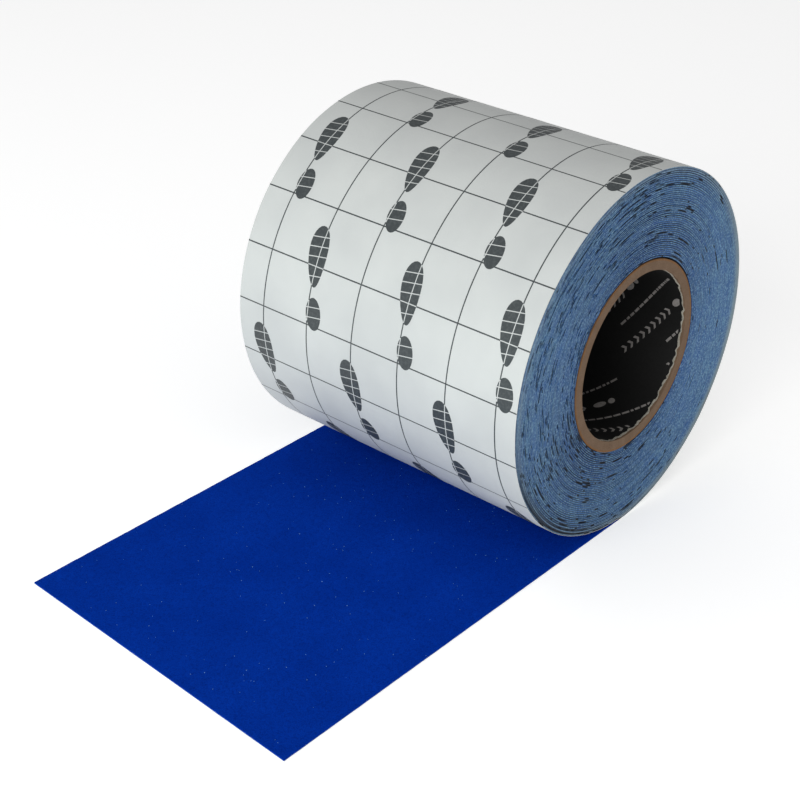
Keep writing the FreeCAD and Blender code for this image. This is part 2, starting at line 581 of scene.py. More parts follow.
@dataclass(frozen=True)
class LitTable(Finish):
    """Opal acrylic of a light table, lit from below so that it stays white."""

    glow: float = 0.4

    def pattern(self, tree: bpy.types.NodeTree, shader: bpy.types.Node) -> None:
        """The light that comes through the sheet.

        Args:
            tree: The material's tree.
            shader: Its principled shader.
        """
        shader.inputs["Emission Color"].default_value = linear("#FFFFFF")
        shader.inputs["Emission Strength"].default_value = self.glow


@dataclass(frozen=True)
class ThinCoat(Finish):
    """A thin even layer, such as ink, film or adhesive, whose tone wanders a little."""

    thin: str = "#565C5D"
    patch: float = 1.2 * MM
    most: float = 0.6
    grain: float = 0.4 * MM
    depth: float = 0.005 * MM

    def pattern(self, tree: bpy.types.NodeTree, shader: bpy.types.Node) -> None:
        """Let a little of what is under the layer show through, and follow its fibres or ripples.

        Args:
            tree: The material's tree.
            shader: Its principled shader.
        """
        showing = wandering(tree, self.patch, 0.45, 0.8, self.most)
        self.layered(tree, shader, self.colour, [(showing, self.thin)])
        roughened(tree, shader, self.grain, self.depth, 0.4)


# Silicone over calendered paper: a cool, faintly cloudy white with a soft sheen.
LINER = ReleasePaper("release_liner_silicone_coated", "#C9CCCA", 0.5, 0.35)
# One pass of flexographic ink: flat charcoal that thins a little over the paper's fibres.
LINER_INK = ThinCoat("liner_ink_flexo_printed", "#353B3D", 0.5)
# Grit buried in pigmented resin: a matt deep blue that breaks into fine dark pits.
GRIT = GritCoat("mineral_grit_resin_coated", "#01329F", 1.0, 0.02)
# A grain that stands out of the coat under its skin of resin: the same blue with a duller, darker side.
GRAIN = ThinCoat("mineral_grain_resin_covered", "#0137A6", 0.9, 0.05, thin="#012C86", patch=0.3 * MM)
# A grain that lost its resin: bare mineral whose pale blue colour is a painted glint.
BARE_GRAIN_GLINT = ThinCoat("mineral_grain_bare", "#8CC4E4", 0.25, 0.9, thin="#5F9CC6", patch=0.3 * MM)
# Pigmented polyester, cast and slit: smooth blue with faint bands from its rollers.
FILM = ThinCoat("polyester_film_slit", "#123C7E", 0.35, thin="#1C4B92", patch=9 * MM, grain=3 * MM)
# Acrylic adhesive knifed on and left tacky: pale grey-blue, rippled and softly shiny.
ADHESIVE = ThinCoat("acrylic_adhesive_coated", "#93A3B5", 0.3, thin="#6F86A4", patch=5 * MM, grain=1.6 * MM,
                    depth=0.05 * MM)
# Every layer's slit edge, one turn against the next: speckled blue with pale smears, and near-black painted
# shade in the sunk gaps and along the seams between turns.
EDGES = CutEdges("wound_tape_edges_slit", "#245890", 0.7, 0.25)
# Recycled board cut with a saw: a dull grey-brown with short fibres.
KRAFT = KraftBoard("kraft_board_saw_cut", "#76614F", 0.9, 0.2)
# The outermost ply, burnished by the slitter: a warmer, redder brown.
KRAFT_RIM = KraftBoard("kraft_board_outer_ply", "#7E5B3B", 0.9, 0.2)
# Paper printed solid black before it was wound: near black, with grey where the fibres stand up.
LINING = ThinCoat("core_lining_gravure_printed", "#0C0C0C", 0.6, 0.3, thin="#161616", depth=0.02 * MM)
# The bare paper left by the printing plate: a worn, uneven pale grey.
LINING_PRINT = ThinCoat("core_lining_pale_print", "#8A8683", 0.5, thin="#5A5856")
# The lining's torn edge: loose pale fibres with black specks of ink.
TORN_PAPER = ThinCoat("core_lining_torn_fibre", "#A39F93", 0.9, thin="#55534E", depth=0.05 * MM)
# Double-sided tape on tissue: a dull grey with the tissue's mottle.
TACK_STRIP = ThinCoat("double_sided_tack_strip", "#6F7A86", 0.5, thin="#5C6670", patch=2 * MM)
# Opal acrylic with lamps below: an even white that holds only a faint shadow.
FLOOR = LitTable("studio_light_table", "#F4F4F4", 0.9)


# ------------------------------------------------------------------ the liner and its print
@dataclass
class PrintedLiner:
    """The liner's outer turn, and the print on every face of it that can be seen."""

    square_along: float = 25.85 * MM
    square_across: float = 25.58 * MM
    line_width: float = 0.58 * MM
    knock_out: float = 0.42 * MM
    print_row: float = 253.2 * MM
    print_column: float = -15.0 * MM
    lean: float = math.radians(-9)
    proud: float = 0.03 * MM
    segments: int = 220
    strips: int = 12
    overlap: float = 0.12
    slit_inset: float = 0.05 * MM
    slit_wander: float = 0.16 * MM
    sole: tuple[float, ...] = (-4.2 * MM, 26.5 * MM, 12.4 * MM, 0.42)
    heel: tuple[float, ...] = (20.6 * MM, 14.5 * MM, 8.4 * MM, 0.0)
    treads: tuple[float, ...] = (-12.6 * MM, -8.4 * MM, -4.2 * MM, 4.2 * MM, 17.6 * MM, 22.0 * MM)
    tread_gap: float = 0.4 * MM
    outline_steps: int = 28

    def turn(self) -> bpy.types.Object:
        """Build the liner of the outermost turn as one closed sheet that overlaps itself a little.

        Returns:
            The sheet, riding on the roll.
        """
        low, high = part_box("laid_liner")
        thick = high.z - low.z
        angles = np.linspace(0, 2 * math.pi + self.overlap, self.segments)
        across = np.linspace(-1, 1, self.strips)
        rng = np.random.default_rng(11)
        wander = [smooth_noise(rng, self.segments, 2.4, 14.0) * self.slit_wander for _ in range(2)]
        points, around = [], 2 * self.strips
        for number, angle in enumerate(angles):
            half = WINDING.half_width - self.slit_inset
            edges = (-half - wander[0][number], half + wander[1][number])
            for depth, order in ((0.0, across), (thick, across[::-1])):
                x, z = WINDING.point(angle, depth)
                for share in order:
                    y = edges[0] + (edges[1] - edges[0]) * (share + 1) / 2
                    points.append((x, y + float(WINDING.drift(angle)), z))
        faces = tube_faces(self.segments, around, closed=False)
        faces.append(tuple(range(around)))
        faces.append(tuple(range((self.segments - 1) * around, self.segments * around))[::-1])
        sheet = mesh_object("outer_liner_turn", points, faces, smooth=False)
        face_outwards(sheet)
        sheet.data.polygons.foreach_set("use_smooth", [True] * len(sheet.data.polygons))
        sheet.data.set_sharp_from_angle(angle=math.radians(40))
        dress(sheet, LINER)
        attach(sheet, "roll")
        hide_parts("wound_liner")
        return sheet

    def sole_outline(self) -> list[list[Point]]:
        """Draw one shoe print, a forefoot and a heel, about the crossing that it is printed on.

        Returns:
            The outline of each part, leaning as it is printed.
        """
        parts = []
        for middle, length, width, narrow in (self.sole, self.heel):
            outline = []
            for step in range(self.outline_steps):
                turn = 2 * math.pi * step / self.outline_steps
                waist = 1 - narrow * (0.5 + 0.5 * math.cos(turn))
                outline.append((middle + length / 2 * math.cos(turn), width / 2 * math.sin(turn) * waist))
            parts.append(outline)
        level, rise = math.cos(self.lean), math.sin(self.lean)
        return [[(a * level - b * rise, a * rise + b * level) for a, b in outline] for outline in parts]

    def tile(self) -> bpy.types.Object:
        """Draw one repeat of the print: a shoe print, and the two rulings each way that belong to it.

        Returns:
            The flat repeat.
        """
        shape = bmesh.new()
        soles = self.sole_outline()
        for outline in soles:
            shape.faces.new([shape.verts.new((a, b, 0)) for a, b in outline])
        forward = Vector((math.cos(self.lean), math.sin(self.lean), 0))
        for place in self.treads:
            self.slit(shape, forward, place, self.tread_gap / 2)
        for normal in (Vector((1, 0, 0)), Vector((0, 1, 0))):
            self.slit(shape, normal, 0, self.knock_out / 2)
        for place in np.arange(-24, 36, 3) * MM:
            cut(shape, (place, 0, 0), (1, 0, 0))
        for axis, square in ((0, self.square_across), (1, self.square_along)):
            for offset in (0, square):
                for start, end in self.clear_runs(soles if offset == 0 else [], axis):
                    self.strip(shape, axis, offset, start, end)
        return drawn("print_tile", shape)

    def slit(self, shape: bmesh.types.BMesh, normal: Vector, place: float, half: float) -> None:
        """Cut a straight band out of the flat shape.

        Args:
            shape: The shape.
            normal: The direction across the band.
            place: How far along that direction its middle is.
            half: Half of its width.
        """
        for edge in (place - half, place + half):
            cut(shape, normal * edge, normal)
        inside = [f for f in shape.faces if abs(f.calc_center_median().dot(normal) - place) < half]
        bmesh.ops.delete(shape, geom=inside, context="FACES")

    def clear_runs(self, outlines: list[list[Point]], axis: int) -> list[Point]:
        """Where a ruling through the print's middle runs outside the soles.

        Args:
            outlines: The soles that the ruling passes.
            axis: 0 for a ruling along the tape, 1 for one across it.

        Returns:
            Start and end of each run, over two squares.
        """
        reach = self.square_along if axis == 0 else self.square_across
        marks = [-reach]
        for outline in outlines:
            for (a0, b0), (a1, b1) in zip(outline, outline[1:] + outline[:1]):
                along0, off0, along1, off1 = (a0, b0, a1, b1) if axis == 0 else (b0, a0, b1, a1)
                if (off0 > 0) != (off1 > 0):
                    marks.append(along0 + (along1 - along0) * off0 / (off0 - off1))
        marks = sorted(marks) + [reach]
        return list(zip(marks[::2], marks[1::2]))

    def strip(self, shape: bmesh.types.BMesh, axis: int, offset: float, start: float, end: float) -> None:
        """Add one run of a ruling as a strip of short faces.

        Args:
            shape: The shape that gets it.
            axis: 0 for a ruling along the tape, 1 for one across it.
            offset: How far to the side of the print's middle it lies.
            start: Where the run starts.
            end: Where it ends.
        """
        steps = max(1, round((end - start) / (3 * MM)))
        last = None
        for place in np.linspace(start, end, steps + 1):
            sides = [(place, offset + side * self.line_width / 2) for side in (-1, 1)]
            pair = [shape.verts.new((*(side if axis == 0 else side[::-1]), 0)) for side in sides]
            if last:
                shape.faces.new((last[0], pair[0], pair[1], last[1]))
            last = pair

    def repeats(self, low: float, high: float) -> np.ndarray:
        """Find where the print repeats, staggered row by row.

        Args:
            low: Where the printed stretch starts along the tape.
            high: Where it ends.

        Returns:
            Rows of distance along the tape, distance across it and zero.
        """
        step = 2 * self.square_along
        first, last = ((place - self.print_row) / step for place in (low, high))
        spots = []
        for row in range(math.floor(first) - 1, math.ceil(last) + 2):
            for column in range(-2, 3):
                across = self.print_column + (2 * column + row % 2) * self.square_across
                spots.append((self.print_row + row * step, across, 0))
        return np.array(spots)

    def print_on(self, name: str, low: float, high: float,
                 far_edge: Callable[[float], float] | None = None) -> bpy.types.Object:
        """Print a stretch of the liner.

        Args:
            name: The piece's name.
            low: Where the stretch starts along the tape, below zero on the tail.
            high: Where it ends.
            far_edge: For the skewed cut end, the lowest distance at each place across.

        Returns:
            The ink as a thin mesh, wrapped on the roll or flat under the tail.
        """
        tile = self.tile()
        flat = scattered(name, self.repeats(low, high), tile, LINER_INK)
        bpy.data.objects.remove(tile)
        shape = bmesh.new()
        shape.from_mesh(flat.data)
        half = WINDING.half_width
        for place, normal in (((low, 0, 0), (-1, 0, 0)), ((high, 0, 0), (1, 0, 0)),
                              ((0, -half, 0), (0, -1, 0)), ((0, half, 0), (0, 1, 0))):
            cut(shape, place, normal, drop=True)
        if far_edge:
            slope = far_edge(half) - far_edge(-half)
            cut(shape, (far_edge(0), 0, 0), (-2 * half, slope, 0), drop=True)
        wrapped = WINDING.wrap(np.array([vertex.co for vertex in shape.verts]), self.proud)
        for vertex, place in zip(shape.verts, wrapped):
            vertex.co = place
        face_the_axis(shape, False)
        shape.to_mesh(flat.data)
        shape.free()
        return flat


def scattered(name: str, places: np.ndarray, pattern: bpy.types.Object, finish: Finish) -> bpy.types.Object:
    """Repeat a shape at given places with a small node tree, and return it as one plain mesh.

    Args:
        name: The piece's name.
        places: One row of x, y, z for each repeat.
        pattern: The object that is repeated.
        finish: What the repeats are made of.

    Returns:
        The new object, at the origin.
    """
    tree = bpy.data.node_groups.new("repeat_a_print", "GeometryNodeTree")
    tree.interface.new_socket("Places", in_out="INPUT", socket_type="NodeSocketGeometry")
    shape_input = tree.interface.new_socket("Shape", in_out="INPUT", socket_type="NodeSocketObject")
    ink_input = tree.interface.new_socket("Ink", in_out="INPUT", socket_type="NodeSocketMaterial")
    tree.interface.new_socket("Print", in_out="OUTPUT", socket_type="NodeSocketGeometry")
    given = add_node(tree, "NodeGroupInput")
    shape = add_node(tree, "GeometryNodeObjectInfo", {"Object": given.outputs["Shape"]})
    placed = add_node(tree, "GeometryNodeInstanceOnPoints",
                      {"Points": given.outputs["Places"], "Instance": shape.outputs["Geometry"]})
    real = add_node(tree, "GeometryNodeRealizeInstances", {"Geometry": placed.outputs["Instances"]})
    inked = add_node(tree, "GeometryNodeSetMaterial",
                     {"Geometry": real.outputs["Geometry"], "Material": given.outputs["Ink"]})
    add_node(tree, "NodeGroupOutput", {"Print": inked.outputs["Geometry"]})
    seeds = mesh_object(name, places, [])
    return grown(seeds, tree, {shape_input.identifier: pattern, ink_input.identifier: finish.material()})


def grown(seeds: bpy.types.Object, tree: bpy.types.NodeTree, values: dict) -> bpy.types.Object:
    """Run a node tree on an object and keep only the plain mesh that it makes.

    Args:
        seeds: The object whose mesh goes into the tree.
        tree: The node tree.
        values: Socket identifier to value, for the tree's other inputs.

    Returns:
        The same object with its new mesh.
    """
    modifier = seeds.modifiers.new("grow", "NODES")
    modifier.node_group = tree
    for identifier, value in values.items():
        modifier[identifier] = value
    bpy.context.view_layer.update()
    result = bpy.data.meshes.new_from_object(seeds.evaluated_get(bpy.context.evaluated_depsgraph_get()))
    seeds.modifiers.remove(modifier)
    seeds.data = result
    return seeds


# ------------------------------------------------------------------ the wound tape
@dataclass
class WoundTape:
    """The turns under the outer liner: a plain body, and at each end the slit edges of every turn."""

    turns: int = 45
    columns: int = 520
    body_columns: int = 160
    shares: tuple[float, ...] = (0.0, 0.13, 0.5, 0.85)
    heights: tuple[float, ...] = (-0.12 * MM, 0.10 * MM, 0.0, 0.02 * MM)
    gap_shares: tuple[float, ...] = (0.0, 0.5, 1.0, 0.35)
    rim_depth: float = 6 * MM
    relief_inset: float = 0.12 * MM
    gap_depth: float = 0.4 * MM
    unevenness: tuple[float, float, float] = (0.16 * MM, 0.09 * MM, 0.06 * MM)
    slow_step: float = 60 * MM
    streak_step: float = 7 * MM
    dash_length: float = 4.2 * MM
    dash_limits: tuple[float, float] = (1.3 * MM, 15 * MM)
    dashes_per_metre: float = 105.0
    patch_turns: int = 4
    patch_columns: int = 26
    slack_at: float = math.radians(322)
    slack_width: float = 0.62
    rub_from: float = -0.45
    rim_fade: float = 6.0
    rub_fade: float = 3.2
    core_fade: float = 3.0

    def build(self) -> list[bpy.types.Object]:
        """Build the body and both ends.

        Returns:
            The three pieces.
        """
        return [self.body(), self.edges(End.NEAR), self.edges(End.FAR)]

    def body(self) -> bpy.types.Object:
        """Build the closed ring between the two edge pieces, hidden under the liner.

        Returns:
            The ring, riding on the roll.
        """
        half = WINDING.half_width - self.rim_depth
        angles = np.linspace(0, 2 * math.pi, self.body_columns, endpoint=False)
        inner = WINDING.core_radius + 0.05 * MM
        outer = WINDING.outer_radius - 1.4 * MM
        points = [(r * math.sin(a), y, -r * math.cos(a)) for a in angles
                  for r, y in ((inner, -half), (outer, -half), (outer, half), (inner, half))]
        ring_body = mesh_object("wound_turns", points, tube_faces(len(angles), 4, closed=True))
        face_outwards(ring_body)
        ring_body.data.set_sharp_from_angle(angle=math.radians(40))
        dress(ring_body, FILM)
        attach(ring_body, "roll")
        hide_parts("wound_adhesive", "wound_film", "wound_grit")
        return ring_body

    def looseness(self, angle: float, inwards: float) -> float:
        """How likely a gap is there: the winding is slack on the tail's side and firm on the other.

        Args:
            angle: The place round the roll, from the bottom.
            inwards: The place in the winding, from 0 outside to 1 at the core.

        Returns:
            The chance, which may pass 1.
        """
        left = 0.5 - 0.5 * math.sin(angle)
        low_left = math.exp(-((angle - math.radians(318)) / 0.55) ** 2)
        top = math.exp(-((angle - math.radians(190)) / 0.6) ** 2)
        return 0.06 + 0.60 * left**1.6 + 0.5 * low_left * inwards**4 + 0.25 * top * (1 - inwards)

    def shaded_gaps(self, rng: np.random.Generator, angles: np.ndarray) -> np.ndarray:
        """Mark where each turn stands off its neighbour: the row is sunk there, and the material paints it
        near black as shade.

        Args:
            rng: Where the random values come from.
            angles: The angle of each column from the bottom.

        Returns:
            A turns by columns array, about 1 in a gap and 0 elsewhere.
        """
        marks = np.zeros((self.turns, self.columns))
        crowded = self.patches(rng)
        for turn in range(self.turns):
            radius = WINDING.outer_radius - turn * WINDING.pitch
            for _ in range(rng.poisson(2 * math.pi * radius * self.dashes_per_metre)):
                middle = rng.random() * 2 * math.pi
                column = int(middle / (2 * math.pi) * self.columns)
                if rng.random() > self.looseness(middle, turn / self.turns) * crowded[turn, column]:
                    continue
                length = np.clip(rng.lognormal(0, 0.65) * self.dash_length, *self.dash_limits)
                off = np.abs((angles - middle + math.pi) % (2 * math.pi) - math.pi) * 2 * radius / length
                marks[turn] = np.maximum(marks[turn], rng.uniform(0.7, 1.3) * np.clip(1 - off**2, 0, 1))
        return marks

    def patches(self, rng: np.random.Generator) -> np.ndarray:
        """How crowded the gaps are, a few turns and a few centimetres at a time.

        Args:
            rng: Where the random values come from.

        Returns:
            A turns by columns array, which multiplies the chance of a gap.
        """
        knots = rng.random((self.turns // self.patch_turns + 2, self.patch_columns + 1))
        knots[:, -1] = knots[:, 0]
        rows = np.arange(self.turns) / self.patch_turns
        columns = np.arange(self.columns) / self.columns * self.patch_columns
        low_row, low_column = rows.astype(int), columns.astype(int)
        down, along = (rows - low_row)[:, None], columns - low_column
        first, second = knots[low_row], knots[low_row + 1]
        upper = first[:, low_column] * (1 - along) + first[:, low_column + 1] * along
        lower = second[:, low_column] * (1 - along) + second[:, low_column + 1] * along
        return 3.2 * (upper * (1 - down) + lower * down) ** 2

    def edges(self, end: End) -> bpy.types.Object:
        """Build the slit edges of every turn at one end as a closed, spiral relief.

        Args:
            end: Which end.

        Returns:
            The relief, riding on the roll, with what its material reads stored on its points.
        """
        rng = np.random.default_rng(40 + end.value)
        angles = np.arange(self.columns) * 2 * math.pi / self.columns
        shaded_gaps = self.shaded_gaps(rng, angles)
        spacing = 2 * math.pi * WINDING.outer_radius / self.columns
        total = self.columns * self.turns
        slow = smooth_noise(rng, total, spacing, self.slow_step).reshape(self.turns, -1)
        streaks = [smooth_noise(rng, total, spacing, self.streak_step).reshape(self.turns, -1)
                   for _ in self.shares]
        off_slack = (angles - self.slack_at + math.pi) % (2 * math.pi) - math.pi
        slack_side = np.exp(-((off_slack / self.slack_width) ** 2))
        rubbed_side = np.clip(np.sin(angles - self.rub_from), 0, 1)
        # How strong the painted shade along the seams is round the face: most at the top and the bottom.
        seam_shade_around = 0.27 + 0.33 * np.cos(angles + 0.2) ** 2
        points, values = [], {"smear": [], "gap": [], "seam": [], "liner_edge": [], "firm": [], "rim": []}
        for turn in range(self.turns + 1):
            for row, share in enumerate(self.shares if turn < self.turns else self.shares[:1]):
                here = min(turn, self.turns - 1)
                angle = angles + 2 * math.pi * turn
                depth = max(share, 0.12) if turn == 0 else share
                x, z = WINDING.point(angle, np.full(self.columns, depth * WINDING.pitch))
                grainy = rng.random(self.columns)
                inwards = turn / self.turns
                rim = math.exp(-((turn / self.rim_fade) ** 2))
                by_core = math.exp(-(((self.turns - turn) / self.core_fade) ** 2))
                # Odd outer turns on the slack side are sunk, and the same value paints them dark as shade.
                sunk_and_shaded = 0.85 * rim * slack_side if turn % 2 else 0
                # The gap value sinks the row and is also stored for the material, which paints it dark as
                # shade.
                gap = np.maximum(shaded_gaps[here], sunk_and_shaded) * self.gap_shares[row]
                lift = self.heights[row] - self.gap_depth * gap
                for height, wander in zip(self.unevenness, (slow[here], streaks[row][here], grainy)):
                    lift = lift + height * (wander - 0.5)
                y = end.value * (WINDING.half_width - self.relief_inset + lift) + WINDING.drift(angle)
                points.append(np.column_stack([x, y, z]))
                pale = 0.60 + 1.0 * (streaks[row][here] - 0.5) + 0.5 * (slow[here] - 0.5) - 0.5 * inwards**2
                pale = pale + 0.35 * (grainy - 0.5) + (0.6 if turn >= self.turns - 1 and row < 2 else 0)
                values["smear"].append(np.clip(pale, 0, 1))
                values["gap"].append(gap)
                values["seam"].append(np.full(self.columns, min(share, 1 - share)))
                values["liner_edge"].append(np.full(self.columns, 1.0 if row == 1 else 0.0))
                # The seam-shade value sets how dark the painted shade along the seams is: stronger on the
                # slack side's outer turns and near the core.
                firm = seam_shade_around * (0.25 + 1.5 * slow[here]) + 0.8 * rim * slack_side
                firm = firm + 0.5 * by_core * (0.3 + slow[here]) + 0.5 * inwards**2 * slack_side
                values["firm"].append(np.clip(firm, 0, 0.95))
                rubbed = math.exp(-((turn / self.rub_fade) ** 2)) * (0.35 + 0.6 * rubbed_side)
                values["rim"].append(np.clip(rubbed + 0.3 * (grainy - 0.5) * rubbed, 0, 1))
        piece = mesh_object(f"wound_edges_{end.name.lower()}", np.concatenate(points), self.spiral_faces())
        for name, rows in values.items():
            stored = piece.data.attributes.new(name, "FLOAT", "POINT")
            stored.data.foreach_set("value", np.concatenate(rows).astype(np.float32))
        self.close_back(piece, end)
        dress(piece, EDGES)
        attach(piece, "roll")
        return piece

    def spiral_faces(self) -> list[tuple[int, int, int, int]]:
        """Number the faces between the rows, where each turn's last column joins the next turn's first.

        Returns:
            Four vertex numbers for each face.
        """
        step, rows = len(self.shares), self.turns * len(self.shares)
        faces = sheet_faces(rows + 1, self.columns)
        for row in range(rows - step):
            last, first = (row + 1) * self.columns - 1, (row + step) * self.columns
            faces.append((last, first, first + self.columns, last + self.columns))
        return faces

    def close_back(self, piece: bpy.types.Object, end: End) -> None:
        """Give the relief walls down its outer and inner rims, and a flat back.

        Args:
            piece: The relief.
            end: Which end it is on.
        """
        shape = bmesh.new()
        shape.from_mesh(piece.data)
        rims = [edge for edge in shape.edges if edge.is_boundary]
        walls = bmesh.ops.extrude_edge_only(shape, edges=rims)["geom"]
        back = end.value * (WINDING.half_width - self.rim_depth)
        for item in walls:
            if isinstance(item, bmesh.types.BMVert):
                item.co.y = back
        loops = [edge for edge in walls if isinstance(edge, bmesh.types.BMEdge) and edge.is_boundary]
        bmesh.ops.bridge_loops(shape, edges=loops)
        bmesh.ops.recalc_face_normals(shape, faces=shape.faces)
        shape.to_mesh(piece.data)
        shape.free()
        piece.data.polygons.foreach_set("use_smooth", [True] * len(piece.data.polygons))
        piece.data.set_sharp_from_angle(angle=math.radians(60))


# ------------------------------------------------------------------ the core
@dataclass
class PaperCore:
    """The kraft tube, its printed black lining and the strip that starts the tape."""

    plies: int = 6
    columns: int = 260
    ragged: float = 1.1 * MM
    paper: float = 0.16 * MM
    mouth_inset: float = 0.15 * MM
    row_spacing: float = 24 * MM
    row_lean: float = math.radians(-36)
    rows: int = 9
    repeats_around: int = 4
    print_margin: float = 2.6 * MM
    chevrons: int = 9
    chevron_spacing: float = 3.7 * MM
    chevron_height: float = 3.4 * MM
    stroke: float = 1.3 * MM
    rule: tuple[float, float] = (11 * MM, 12.1 * MM)

    def build(self) -> list[bpy.types.Object]:
        """Dress the plies and the strip, and build the lining with its print.

        Returns:
            The lining and its print.
        """
        for number in range(1, self.plies + 1):
            dress(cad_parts[f"core_kraft_ply_{number}"], KRAFT_RIM if number == self.plies else KRAFT)
        dress(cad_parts["start_tack_strip"], TACK_STRIP)
        return [self.lining(), self.lining_print()]

    def lining(self) -> bpy.types.Object:
        """Build the thin printed ply, torn along both mouths so that its pale fibres show.

        Returns:
            The lining, riding on the roll.
        """
        outer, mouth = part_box("core_printed_ply")[1].z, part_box("core_kraft_ply_1")[1].y
        inner = outer - self.paper
        rng = np.random.default_rng(5)
        angles = np.arange(self.columns) * 2 * math.pi / self.columns
        profile = []
        for end in (-1, 1):
            tear = self.around_noise(rng, 2.2) * self.ragged + self.around_noise(rng, 0.9) * 0.5 * MM
            pale = tear + 0.25 * MM + self.around_noise(rng, 1.2) * 0.9 * MM
            ends = [(outer, tear), (inner, tear + 0.05 * MM), (inner, pale), (inner, pale + 5 * MM)]
            profile.append([(radius, end * (mouth - self.mouth_inset - back)) for radius, back in ends])
        rings = profile[0] + [(inner, np.zeros(self.columns))] + profile[1][::-1]
        points = np.concatenate([
            np.column_stack([radius * np.sin(angles), y, -radius * np.cos(angles)]) for radius, y in rings
        ])
        count = len(rings)
        bare = [ring in (0, 1, count - 3, count - 2) for ring in range(count) for _ in range(self.columns)]
        tube = mesh_object("core_lining", points, tube_faces(count, self.columns, closed=True))
        face_outwards(tube)
        tube.data.set_sharp_from_angle(angle=math.radians(50))
        dress(tube, LINING, TORN_PAPER)
        tube.data.polygons.foreach_set("material_index", [int(b) for b in bare])
        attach(tube, "roll")
        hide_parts("core_printed_ply")
        return tube

    def around_noise(self, rng: np.random.Generator, step: float) -> np.ndarray:
        """Noise round the mouth, which meets itself.

        Args:
            rng: Where the random values come from.
            step: The distance over which it changes, in millimetres.

        Returns:
            A value from 0 to 1 for each column.
        """
        around, joined = 2 * math.pi * 38, 12
        values = smooth_noise(rng, self.columns, around / self.columns, step)
        share = np.clip((np.arange(self.columns) - self.columns + joined) / joined, 0, 1)
        return values * (1 - share) + values[0] * share

    def print_tile(self) -> bpy.types.Object:
        """Draw one repeat of the lining's print: a row of chevrons, a small sole and a broken rule.

        Returns:
            The flat repeat, leaning as its rows do.
        """
        shape = bmesh.new()
        for number in range(self.chevrons):
            self.chevron(shape, number * self.chevron_spacing - 26 * MM)
        for middle, length in ((12.5, 6.0), (18.0, 3.2)):
            ring = [((middle + length / 2 * math.cos(t)) * MM, (1.7 + 1.6 * math.sin(t)) * MM)
                    for t in np.linspace(0, 2 * math.pi, 16, endpoint=False)]
            shape.faces.new([shape.verts.new((a, b, 0)) for a, b in ring])
        rng = np.random.default_rng(9)
        low, high = self.rule
        place = -20.0 * MM
        while place < 22 * MM:
            width = rng.uniform(1.2, 3.6) * MM
            corners = ((place, low), (place + width, low), (place + width, high), (place, high))
            shape.faces.new([shape.verts.new((a, b, 0)) for a, b in corners])
            place += width + 0.7 * MM
        tile = drawn("lining_tile", shape)
        tile.data.transform(Matrix.Rotation(self.row_lean, 4, "Z"))
        return tile

    def chevron(self, shape: bmesh.types.BMesh, left: float) -> None:
        """Add one flat chevron that points along its row.

        Args:
            shape: The shape that gets it.
            left: Where it starts along the row.
        """
        middle, tip = self.chevron_height / 2, left + self.stroke
        for end in (0.0, self.chevron_height):
            corners = ((left, end), (tip, end), (tip + self.stroke, middle), (tip, middle))
            shape.faces.new([shape.verts.new((a, b, 0)) for a, b in corners])

    def lining_print(self) -> bpy.types.Object:
        """Repeat the print in slanting rows down the bore and wrap it on the wall.

        Returns:
            The print, riding on the roll.
        """
        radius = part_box("core_printed_ply")[1].z - self.paper - 0.02 * MM
        around = 2 * math.pi * radius
        tile = self.print_tile()
        count = self.repeats_around
        spots = [(around * column / count, (row - self.rows // 2 + column / count) * self.row_spacing, 0)
                 for row in range(self.rows) for column in range(count)]
        flat = scattered("core_lining_print", np.array(spots), tile, LINING_PRINT)
        bpy.data.objects.remove(tile)
        shape = bmesh.new()
        shape.from_mesh(flat.data)
        half = WINDING.half_width - self.print_margin
        for side in (-1, 1):
            cut(shape, (0, side * half, 0), (0, side, 0), drop=True)
        for vertex in shape.verts:
            turn = vertex.co.x / radius
            vertex.co = Vector((radius * math.sin(turn), vertex.co.y, -radius * math.cos(turn)))
        face_the_axis(shape, True)
        shape.to_mesh(flat.data)
        shape.free()
        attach(flat, "roll")
        return flat


# ------------------------------------------------------------------ the unrolled tape
@dataclass(frozen=True)
class Stretch:
    """One stretch of the tail, with the names of two bodies and the places of a bend that are listed for it,
    though nothing bends it.
    """

    name: str
    near: float
    far: float
    bodies: tuple[str, str]
    bend: tuple[float, float]
    skewed: bool = False


